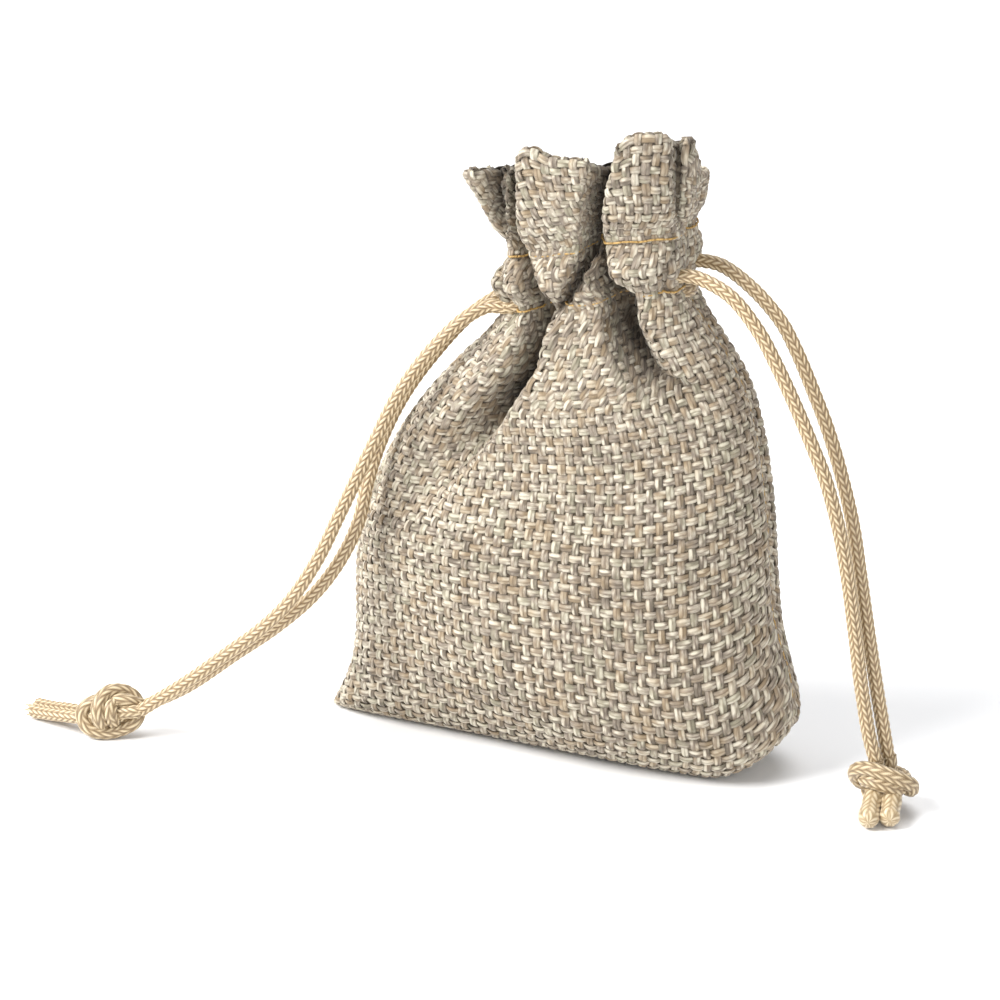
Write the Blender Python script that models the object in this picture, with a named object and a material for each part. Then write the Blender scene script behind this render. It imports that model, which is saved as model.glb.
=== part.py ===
"""Drawstring gift pouch, gathered and standing: cloth panels, channel, header, two drawstrings.

Frame: +Z up, +X along the pouch's width, -Y is the front. The origin is under the middle of the
pouch, on the surface that it stands on. Lengths are written in millimetres and scaled by MM.
The tables count x from the filled body's middle, which lies ORIGIN_X to the right of the origin.
"""

import math

import bmesh
import bpy
from mathutils import Vector

MM = 0.001

# ---- Driving dimensions, in millimetres ----
CLOTH = 1.0  # thickness of one layer of the coarse woven cloth
SEAM_GAP = 0.2  # each panel stops this far from the seam plane
CORD = 2.5  # diameter of the braided cord
TOUCH = 0.3  # gap between faces that touch on the real pouch
ORIGIN_X = 1.3  # puts the middle of the pouch's box, without its free cords, at x = 0

NECK_X = 5.5  # the neck leans to the right of the base
NECK_Z = 91.0  # height of the cords in the channel there
NECK_SLOPE = 0.14  # the gathered neck rises to the right by this much per mm
CHANNEL_HALF_LENGTH = 15.5
CHANNEL_BELOW = 5.5  # the channel's reach below and above the cords, which lie low in it
CHANNEL_ABOVE = 9.5
CHANNEL_OUTER_Y = 9.7
CHANNEL_INNER_Y = 4.2
FACING_HALF_LENGTH = 8.0
FACING_INNER_Y = 3.0
CHANNEL_WALL = 0.8

LOOP_Y = 5.35  # half the spacing of a drawstring's two runs in the channel
LOOP_Z = 2.55  # a drawstring's height above or below the middle of the channel
EXIT_GAP = 1.2  # room between a run in the channel and its free strand, which can be lifted

HEADER_LIFT = 2.2  # room under the header, so that it can lean
HEADER_TOP_Z = 118.5
HEADER_TOP_SLOPE = 0.25
HEADER_THICKNESS = 1.4

THREAD = 0.5  # diameter of the sewing thread
STITCH_INSET = 1.6  # from the channel's upper and lower edge to its stitching
SEAM_WIDTH = 1.8
SEAM_THICKNESS = 1.2
PANEL_COLUMNS = 20

# The filled body, from the base up: height, left, right, depth of each half, squareness.
BODY_STATIONS = [
    (0.0, -45.5, 39.0, 9.5, 2.3),
    (4.0, -47.0, 42.0, 14.5, 2.3),
    (10.0, -46.0, 44.0, 17.0, 2.3),
    (20.0, -43.5, 44.4, 19.0, 2.3),
    (35.0, -43.0, 41.5, 19.0, 2.3),
    (50.0, -38.5, 40.0, 18.0, 2.3),
    (58.0, -34.0, 38.5, 17.0, 2.3),
    (66.0, -29.5, 36.6, 15.5, 2.2),
    (74.0, -22.3, 33.0, 13.5, 2.2),
    (80.0, -16.5, 28.6, 11.0, 2.3),
    (NECK_Z - CHANNEL_BELOW - 0.5, -11.5, 23.4, 9.5, 2.6),
]

# Routes of the free strands, from the channel's end to the knot.
LEFT_FRONT_ROUTE = [
    (-14.5, -5.8, 86.0), (-19.0, -8.0, 83.0), (-24.7, -11.0, 76.3), (-29.2, -13.5, 68.9),
    (-32.2, -16.0, 61.6), (-35.1, -18.5, 54.3), (-38.2, -20.5, 46.7), (-41.4, -22.5, 39.1),
    (-46.2, -24.3, 31.0), (-51.6, -26.0, 25.0), (-58.1, -27.5, 19.6), (-66.0, -29.0, 13.2),
]
LEFT_BACK_ROUTE = [
    (-14.5, 4.8, 86.0), (-21.0, 1.4, 81.3), (-27.2, -3.0, 73.3), (-31.1, -6.5, 66.5),
    (-33.6, -10.0, 59.5), (-35.1, -13.0, 52.4), (-36.0, -16.0, 44.7), (-38.9, -18.5, 37.4),
    (-43.7, -20.5, 30.5), (-50.4, -22.7, 24.1), (-58.3, -24.3, 18.0), (-67.0, -26.0, 11.2),
]
RIGHT_FRONT_ROUTE = [
    (26.5, -5.5, 95.5), (32.6, -6.5, 93.0), (38.0, -7.5, 87.6), (41.8, -8.1, 81.7),
    (45.6, -8.6, 74.8), (49.0, -9.0, 67.9), (51.8, -9.3, 61.7), (54.6, -9.5, 52.7),
    (56.6, -9.7, 43.5), (58.2, -9.9, 34.1), (59.7, -10.0, 24.6), (61.5, -10.1, 15.2),
]
RIGHT_BACK_ROUTE = [
    (27.5, 4.8, 95.2), (33.7, 3.5, 91.8), (39.1, 2.0, 87.2), (42.6, 0.5, 82.6),
    (46.0, -1.0, 76.8), (49.7, -2.5, 69.7), (52.8, -4.0, 62.4), (55.8, -5.4, 53.4),
    (57.8, -6.3, 44.3), (59.6, -6.9, 35.1), (61.8, -7.4, 24.0), (63.8, -7.7, 14.5),
]
STRAND_SPACING = 1.45  # half the spacing of two strands where they enter a knot
ROUTE_STEP = 5.5

COLOURS = {
    "linen_cloth": (0.60, 0.52, 0.42),
    "satin_cord": (0.78, 0.62, 0.38),
    "sewing_thread": (0.80, 0.68, 0.45),
}


def clear_scene():
    for thing in list(bpy.data.objects):
        bpy.data.objects.remove(thing, do_unlink=True)


def material(name):
    """The Principled material of that name, made the first time it is asked for."""
    found = bpy.data.materials.get(name)
    if found:
        return found
    made = bpy.data.materials.new(name)
    made.use_nodes = True
    shader = made.node_tree.nodes["Principled BSDF"]
    shader.inputs["Base Color"].default_value = (*COLOURS[name], 1.0)
    shader.inputs["Roughness"].default_value = 0.45 if name == "satin_cord" else 0.9
    shader.inputs["Metallic"].default_value = 0.0
    return made


def add_object(name, data, material_name):
    thing = bpy.data.objects.new(name, data)
    thing.location.x = ORIGIN_X * MM
    data.materials.append(material(material_name))
    bpy.context.scene.collection.objects.link(thing)
    return thing


def joint_axis(name, x, z, pieces):
    """An empty on a joint's axis, which carries the pieces that turn about it."""
    empty = bpy.data.objects.new(name, None)
    empty.location = Vector((ORIGIN_X + x, 0.0, z)) * MM
    bpy.context.scene.collection.objects.link(empty)
    for piece in pieces:
        carried = bpy.data.objects[piece]
        carried.parent = empty
        carried.location = carried.location - empty.location


def neck_rise(x):
    """How much higher the tilted neck is at x than at its middle."""
    return NECK_SLOPE * (x - NECK_X)


def exit_point(leaves_left):
    """Where a drawstring leaves the channel: x and z on its middle line, and the way out."""
    outwards = -1.0 if leaves_left else 1.0
    x = NECK_X + outwards * CHANNEL_HALF_LENGTH
    return x, NECK_Z + neck_rise(x) + outwards * LOOP_Z, outwards


def smooth_step(value, low, high):
    t = min(1.0, max(0.0, (value - low) / (high - low)))
    return t * t * (3.0 - 2.0 * t)


def closed_shell(name, outer, inner, material_name):
    """A cloth piece between an outer and an inner grid of points, closed round its rim."""
    mesh = bmesh.new()
    rows, columns = len(outer), len(outer[0])
    layers = [
        [[mesh.verts.new(Vector(point) * MM) for point in row] for row in grid]
        for grid in (outer, inner)
    ]
    for row in range(rows - 1):
        for column in range(columns - 1):
            for layer in layers:
                corners = [
                    layer[row][column], layer[row][column + 1],
                    layer[row + 1][column + 1], layer[row + 1][column],
                ]
                mesh.faces.new(corners)
    rim = [(0, column) for column in range(columns)]
    rim += [(row, columns - 1) for row in range(1, rows)]
    rim += [(rows - 1, column) for column in range(columns - 2, -1, -1)]
    rim += [(row, 0) for row in range(rows - 2, 0, -1)]
    for here, there in zip(rim, rim[1:] + rim[:1]):
        mesh.faces.new([
            layers[0][here[0]][here[1]], layers[0][there[0]][there[1]],
            layers[1][there[0]][there[1]], layers[1][here[0]][here[1]],
        ])
    bmesh.ops.recalc_face_normals(mesh, faces=mesh.faces)
    data = bpy.data.meshes.new(name)
    mesh.to_mesh(data)
    mesh.free()
    return add_object(name, data, material_name)


def half_ring(left, right, depth, power, side):
    """Points of one half of a squarish oval, from the left seam to the right seam."""
    middle, half = (left + right) / 2.0, (right - left) / 2.0
    points = []
    for column in range(PANEL_COLUMNS + 1):
        angle = math.pi * column / PANEL_COLUMNS
        cosine, sine = math.cos(angle), math.sin(angle)
        x = middle - half * math.copysign(abs(cosine) ** (2.0 / power), cosine)
        y = max(SEAM_GAP, depth * abs(sine) ** (2.0 / power))
        points.append((x, side * y))
    return points


def panel_grid(side, inset):
    """Rows of points from the base's middle line up to the neck, moved inwards by inset."""
    lowest = BODY_STATIONS[0]
    base = half_ring(lowest[1] + inset, lowest[2] - inset, lowest[3] - inset, lowest[4], side)
    grid = [[(x, side * SEAM_GAP, inset) for x, _ in base]]
    for height, left, right, depth, power in BODY_STATIONS:
        share = smooth_step(height, 45.0, BODY_STATIONS[-1][0])
        ring = half_ring(left + inset, right - inset, depth - inset, power, side)
        level = max(height, inset)
        grid.append([(x, y, level + share * neck_rise(x)) for x, y in ring])
    return grid


def cloth_panel(name, side):
    closed_shell(name, panel_grid(side, 0.0), panel_grid(side, CLOTH), "linen_cloth")


def edge_of_body(height, right_side):
    """Where the body's left or right seam is at a nominal height, with the neck's tilt."""
    stations = BODY_STATIONS
    for low, high in zip(stations, stations[1:]):
        if low[0] <= height <= high[0]:
            share = (height - low[0]) / (high[0] - low[0])
            column = 2 if right_side else 1
            x = low[column] + share * (high[column] - low[column])
            tilt = smooth_step(height, 45.0, stations[-1][0])
            return x, height + tilt * neck_rise(x)
    raise ValueError(height)


def side_seam(name, right_side):
    """The sewn ridge where the two panels' edges are stitched together."""
    outwards = 1.0 if right_side else -1.0
    grids = ([], [])
    for height in (4.0, 10.0, 20.0, 35.0, 50.0, 58.0, 66.0, 74.0, 78.0):
        x, z = edge_of_body(height, right_side)
        near = x + outwards * (TOUCH + 0.1)
        far = near + outwards * SEAM_WIDTH
        for grid, y in zip(grids, (-SEAM_THICKNESS / 2.0, SEAM_THICKNESS / 2.0)):
            grid.append([(near, y, z), (far, y, z)])
    closed_shell(name, grids[0], grids[1], "linen_cloth")


def thread_line(name, points):
    """A line of stitching, as one thin thread."""
    tube(name, [Vector(point) for point in points], THREAD, "sewing_thread")


def seam_thread(name, right_side):
    outwards = 1.0 if right_side else -1.0
    points = []
    for height in (6.0, 10.0, 20.0, 35.0, 50.0, 58.0, 66.0, 74.0):
        x, z = edge_of_body(height, right_side)
        depth = SEAM_THICKNESS / 2.0 + TOUCH + THREAD / 2.0
        points.append((x + outwards * (TOUCH + SEAM_WIDTH * 0.7), -depth, z))
    thread_line(name, points)


def sheared_prism(name, profile, low_x, high_x, material_name):
    """A profile in y and z, run along the neck's length and sheared with its tilt."""
    mesh = bmesh.new()
    ends = []
    for x in (low_x, high_x):
        ends.append([
            mesh.verts.new(Vector((x, y, NECK_Z + neck_rise(x) + z)) * MM) for y, z in profile
        ])
    count = len(profile)
    for index in range(count):
        following = (index + 1) % count
        mesh.faces.new([
            ends[0][index], ends[0][following], ends[1][following], ends[1][index],
        ])
    mesh.faces.new(ends[0])
    mesh.faces.new(ends[1])
    bmesh.ops.recalc_face_normals(mesh, faces=mesh.faces)
    data = bpy.data.meshes.new(name)
    mesh.to_mesh(data)
    mesh.free()
    add_object(name, data, material_name)


def channel(name, side):
    """The outer cloth of the channel: a C section, open to the facing behind it."""
    chamfer = 1.2
    top, bottom, outer, inner = CHANNEL_ABOVE, -CHANNEL_BELOW, CHANNEL_OUTER_Y, CHANNEL_INNER_Y
    outside = [
        (inner, bottom), (outer - chamfer, bottom), (outer, bottom + chamfer),
        (outer, top - chamfer), (outer - chamfer, top), (inner, top),
    ]
    wall, corner = CHANNEL_WALL, 0.3 * CHANNEL_WALL
    inside = [
        (inner, top - wall), (outer - chamfer - corner, top - wall),
        (outer - wall, top - chamfer - corner), (outer - wall, bottom + chamfer + corner),
        (outer - chamfer - corner, bottom + wall), (inner, bottom + wall),
    ]
    profile = [(side * y, z) for y, z in outside + inside]
    sheared_prism(
        name, profile, NECK_X - CHANNEL_HALF_LENGTH, NECK_X + CHANNEL_HALF_LENGTH, "linen_cloth"
    )


def facing(name, side):
    """The turned-in inner layer of the channel, shorter so that the cords can turn round it."""
    near, far = side * FACING_INNER_Y, side * (FACING_INNER_Y + CHANNEL_WALL)
    top, bottom = CHANNEL_ABOVE, -CHANNEL_BELOW
    profile = [(near, bottom), (far, bottom), (far, top), (near, top)]
    sheared_prism(
        name, profile, NECK_X - FACING_HALF_LENGTH, NECK_X + FACING_HALF_LENGTH, "linen_cloth"
    )


def channel_thread(name, side, level):
    reach = CHANNEL_HALF_LENGTH - 0.5
    y = side * (CHANNEL_OUTER_Y + TOUCH + THREAD / 2.0)
    ends = (NECK_X - reach, NECK_X, NECK_X + reach)
    thread_line(name, [(x, y, NECK_Z + neck_rise(x) + level) for x in ends])


def header(name, side):
    """The gathered header above the channel: two lobes with a valley between them."""
    columns, rows = 24, 6
    bottom_z = NECK_Z + CHANNEL_ABOVE + HEADER_LIFT
    grids = ([], [])
    for row in range(rows + 1):
        rise = row / rows
        layer = [[], []]
        for column in range(columns + 1):
            across = 2.0 * column / columns - 1.0
            lobe = abs(math.sin(math.pi * across)) ** 0.8
            x = (NECK_X - 1.3 * rise) + (16.5 + 5.5 * rise) * across
            low_z = bottom_z + neck_rise(x)
            high_z = HEADER_TOP_Z + HEADER_TOP_SLOPE * (x - NECK_X)
            z = low_z + rise * (high_z - low_z)
            depth = 4.4 + (4.0 + 3.0 * rise) * lobe
            layer[0].append((x, side * depth, z))
            layer[1].append((x, side * (depth - HEADER_THICKNESS), z))
        grids[0].append(layer[0])
        grids[1].append(layer[1])
    closed_shell(name, grids[0], grids[1], "linen_cloth")


def smooth_route(points, step):
    """Points about a step apart on the Catmull-Rom curve through the given points."""
    points = [Vector(point) for point in points]
    before = points[0] * 2.0 - points[1]
    after = points[-1] * 2.0 - points[-2]
    padded = [before, *points, after]
    route = [points[0]]
    for a, b, c, d in zip(padded, padded[1:], padded[2:], padded[3:]):
        pieces = max(1, round((c - b).length / step))
        for piece in range(1, pieces + 1):
            t = piece / pieces
            route.append(0.5 * (
                2.0 * b + (c - a) * t + (2.0 * a - 5.0 * b + 4.0 * c - d) * t ** 2
                + (3.0 * b - a - 3.0 * c + d) * t ** 3
            ))
    return route


def tube(name, points, diameter, material_name):
    """A round tube with filled ends along the points."""
    data = bpy.data.curves.new(name, "CURVE")
    data.dimensions = "3D"
    spline = data.splines.new("POLY")
    spline.points.add(len(points) - 1)
    for target, point in zip(spline.points, points):
        target.co = (*(point * MM), 1.0)
    data.bevel_depth = diameter / 2.0 * MM
    data.bevel_resolution = 2
    data.use_fill_caps = True
    add_object(name, data, material_name)


def channel_loop(name, leaves_left):
    """A drawstring's run inside the channel: in at one end, round the far end and back."""
    open_x, _, outwards = exit_point(leaves_left)
    turn_x = NECK_X - outwards * 12.0
    turn_steps = 12
    plan = [(open_x, -LOOP_Y), ((open_x + turn_x) / 2.0, -LOOP_Y)]
    for step in range(turn_steps + 1):
        angle = math.pi * step / turn_steps
        plan.append((
            turn_x - outwards * LOOP_Y * math.sin(angle), -LOOP_Y * math.cos(angle),
        ))
    plan += [((open_x + turn_x) / 2.0, LOOP_Y), (open_x, LOOP_Y)]
    route = [Vector((x, y, NECK_Z + neck_rise(x) + outwards * LOOP_Z)) for x, y in plan]
    tube(name, route, CORD, "satin_cord")


def knot(name, start, end, radius, end_radius):
    """The overhand knot that ties two strands together, as a plain barrel with flat ends."""
    start, end = Vector(start), Vector(end)
    along = (end - start).normalized()
    across = along.cross(Vector((0.0, 0.0, 1.0)))
    if across.length < 0.5:
        across = Vector((1.0, 0.0, 0.0))
    across.normalize()
    upright = across.cross(along).normalized()
    sides = 16
    mesh = bmesh.new()
    rings = []
    for share, swell in ((0.0, 0.0), (0.12, 0.6), (0.3, 0.93), (0.5, 1.0), (0.7, 0.93),
                         (0.88, 0.6), (1.0, 0.0)):
        size = end_radius + (radius - end_radius) * swell
        centre = start.lerp(end, share)
        ring = []
        for side in range(sides):
            angle = 2.0 * math.pi * side / sides
            offset = size * (math.cos(angle) * across + math.sin(angle) * upright)
            ring.append(mesh.verts.new((centre + offset) * MM))
        rings.append(ring)
    for ring, following in zip(rings, rings[1:]):
        for side in range(sides):
            beside = (side + 1) % sides
            mesh.faces.new([ring[side], ring[beside], following[beside], following[side]])
    mesh.faces.new(rings[0])
    mesh.faces.new(rings[-1])
    bmesh.ops.recalc_face_normals(mesh, faces=mesh.faces)
    data = bpy.data.meshes.new(name)
    mesh.to_mesh(data)
    data.shade_smooth()
    mesh.free()
    add_object(name, data, "satin_cord")


def strand(name, leaves_left, side, route, last):
    """One free strand of a drawstring, straight out of the channel and down to its knot."""
    x, z, outwards = exit_point(leaves_left)
    start = (x + outwards * EXIT_GAP, side * LOOP_Y, z)
    points = smooth_route([start, *route, last], ROUTE_STEP)
    tube(name, points, CORD, "satin_cord")


def tail(name, start, end):
    tube(name, [Vector(start), Vector(start).lerp(Vector(end), 0.5), Vector(end)], CORD,
         "satin_cord")


def left_drawstring():
    channel_loop("left_channel_cord", True)
    entry = Vector((-75.7, -28.4, 6.1))
    spread = Vector((0.0, STRAND_SPACING, 0.0))
    strand("left_front_strand", True, -1.0, LEFT_FRONT_ROUTE, entry - spread)
    strand("left_back_strand", True, 1.0, LEFT_BACK_ROUTE, entry + spread)
    knot("left_knot", (-77.1, -28.6, 5.8), (-87.2, -31.0, 4.3), 4.6, 3.2)
    tail("left_front_tail", (-87.9, -32.3, 3.8), (-99.8, -28.3, 1.5))
    tail("left_back_tail", (-88.2, -29.5, 3.8), (-100.4, -25.2, 1.5))


def right_drawstring():
    channel_loop("right_channel_cord", False)
    entry = Vector((63.9, -8.9, 9.9))
    spread = Vector((0.8, 1.3, 0.0))
    strand("right_front_strand", False, -1.0, RIGHT_FRONT_ROUTE, entry - spread)
    strand("right_back_strand", False, 1.0, RIGHT_BACK_ROUTE, entry + spread)
    knot("right_knot", (64.3, -8.8, 9.2), (64.3, -8.6, 0.4), 5.8, 4.4)
    tail("right_front_tail", (63.6, -14.9, 2.6), (64.0, -19.2, 1.7))
    tail("right_back_tail", (66.4, -14.7, 2.6), (67.0, -18.9, 1.7))


def main():
    clear_scene()
    cloth_panel("front_panel", -1.0)
    cloth_panel("back_panel", 1.0)
    for label, right_side in (("left", False), ("right", True)):
        side_seam(f"{label}_side_seam", right_side)
        seam_thread(f"{label}_seam_thread", right_side)
    for label, side in (("front", -1.0), ("back", 1.0)):
        channel(f"{label}_channel", side)
        facing(f"{label}_facing", side)
        channel_thread(f"{label}_upper_stitching", side, CHANNEL_ABOVE - STITCH_INSET)
        channel_thread(f"{label}_lower_stitching", side, STITCH_INSET - CHANNEL_BELOW)
        header(f"{label}_header", side)
    left_drawstring()
    right_drawstring()
    for label, leaves_left in (("left", True), ("right", False)):
        x, z, _ = exit_point(leaves_left)
        fall = ("front_strand", "back_strand", "knot", "front_tail", "back_tail")
        joint_axis(f"{label}_lift_axis", x, z, [f"{label}_{piece}" for piece in fall])
    lean_z = NECK_Z + CHANNEL_ABOVE + HEADER_LIFT / 2.0
    joint_axis("header_lean_axis", NECK_X, lean_z, ["front_header", "back_header"])


main()
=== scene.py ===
import math
import bpy
import numpy as np
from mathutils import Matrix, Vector


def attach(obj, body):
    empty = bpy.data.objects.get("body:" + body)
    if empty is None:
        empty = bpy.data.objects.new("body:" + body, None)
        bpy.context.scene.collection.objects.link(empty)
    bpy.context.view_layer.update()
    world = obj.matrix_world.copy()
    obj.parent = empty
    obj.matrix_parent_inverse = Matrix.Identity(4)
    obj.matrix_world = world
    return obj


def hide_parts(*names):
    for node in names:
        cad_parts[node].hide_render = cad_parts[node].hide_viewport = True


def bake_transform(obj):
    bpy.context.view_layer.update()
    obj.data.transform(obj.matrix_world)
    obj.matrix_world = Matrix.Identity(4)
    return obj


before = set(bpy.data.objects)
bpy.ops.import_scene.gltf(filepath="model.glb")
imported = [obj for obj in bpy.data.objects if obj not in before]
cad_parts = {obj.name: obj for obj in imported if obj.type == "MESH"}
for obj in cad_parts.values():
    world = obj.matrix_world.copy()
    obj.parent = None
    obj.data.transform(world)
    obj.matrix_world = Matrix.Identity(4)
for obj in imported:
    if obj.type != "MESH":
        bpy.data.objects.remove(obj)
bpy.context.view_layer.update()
mm = 0.001
originX = 1.3  # the tables below count x from the filled body's middle, in mm, as the CAD's do
rng = np.random.default_rng(7)


def metres(points):
    return (np.asarray(points, float) + (originX, 0.0, 0.0)) * mm


camera = {"azimuth": 20.0, "elevation": 19.5, "distance": 620.0, "lens": 121.0}
aim = {"pivot": (1.3, -5.0, 55.0), "right": -11.1, "up": -4.6}  # mm, from the pouch's middle


def addCamera():
    turn, rise = math.radians(camera["azimuth"]), math.radians(camera["elevation"])
    back = Vector((math.sin(turn) * math.cos(rise), -math.cos(turn) * math.cos(rise), math.sin(rise)))
    right = Vector((math.cos(turn), math.sin(turn), 0.0))
    pivot = Vector(aim["pivot"])
    place = pivot + back * camera["distance"]
    target = pivot + right * aim["right"] + back.cross(right) * aim["up"]
    data = bpy.data.cameras.new("studioCamera")
    data.lens = camera["lens"]
    data.clip_start, data.clip_end = 0.01, 20.0
    seer = bpy.data.objects.new("studioCamera", data)
    seer.location = place * mm
    seer.rotation_euler = (target - place).to_track_quat("-Z", "Y").to_euler()
    bpy.context.collection.objects.link(seer)
    bpy.context.scene.camera = seer


def addArea(name, place, target, size, power):
    data = bpy.data.lights.new(name, "AREA")
    data.shape, data.size, data.energy = "DISK", size, power
    lamp = bpy.data.objects.new(name, data)
    lamp.location = place
    lamp.rotation_euler = (Vector(target) - Vector(place)).to_track_quat("-Z", "Y").to_euler()
    bpy.context.collection.objects.link(lamp)


lights = {"keyLight": ((-0.70, -0.60, 0.80), 0.75, 22.0),  # place and width in m, power in W
          "fillLight": ((0.8, -0.9, 0.5), 1.0, 6.5),
          "topLight": ((0.0, 0.30, 1.1), 0.9, 8.0)}
studio = {"middle": (0.0, 0.0, 0.06), "skyColour": (0.93, 0.95, 1.0, 1.0), "skyStrength": 0.34}


def addLights():
    for name, (place, size, power) in lights.items():
        addArea(name, place, studio["middle"], size, power)
    world = bpy.data.worlds.new("studio")
    world.use_nodes = True
    sky = world.node_tree.nodes["Background"]
    sky.inputs["Color"].default_value = studio["skyColour"]
    sky.inputs["Strength"].default_value = studio["skyStrength"]
    bpy.context.scene.world = world
    bpy.context.scene.view_settings.view_transform = "Standard"


def fromHex(value):
    # sRGB hex to linear
    parts = [int(value[i:i + 2], 16) / 255.0 for i in (1, 3, 5)]
    return tuple(p / 12.92 if p <= 0.04045 else ((p + 0.055) / 1.055) ** 2.4 for p in parts) + (1.0,)


def addNode(tree, kind, settings=None, **links):
    node = tree.nodes.new(kind)
    for name, value in (settings or {}).items():
        setattr(node, name, value)
    for name, value in links.items():
        socket = node.inputs[int(name[1:])] if name[0] == "i" and name[1:].isdigit() else node.inputs[name]
        if isinstance(value, bpy.types.NodeSocket):
            tree.links.new(value, socket)
        else:
            socket.default_value = value
    return node


def newMaterial(name):
    made = bpy.data.materials.new(name)
    made.use_nodes = True
    tree = made.node_tree
    return made, tree, tree.nodes["Principled BSDF"]


def ramp(tree, factor, stops):
    node = tree.nodes.new("ShaderNodeValToRGB")
    while len(node.color_ramp.elements) < len(stops):
        node.color_ramp.elements.new(0.5)
    for element, (place, colour) in zip(node.color_ramp.elements, stops):
        element.position, element.color = place, fromHex(colour)
    tree.links.new(factor, node.inputs["Fac"])
    return node


def foldShade(tree, colour):
    # painted shade deep in the pleats: the colour is multiplied towards a dark grey-brown by the fold
    # attribute
    fold = addNode(tree, "ShaderNodeAttribute", {"attribute_name": "fold"})
    mixed = addNode(tree, "ShaderNodeMix", {"data_type": "RGBA", "blend_type": "MULTIPLY"},
                    i0=fold.outputs["Fac"])
    tree.links.new(colour, mixed.inputs[6])
    mixed.inputs[7].default_value = fromHex("#5d564e")
    return mixed


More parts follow.
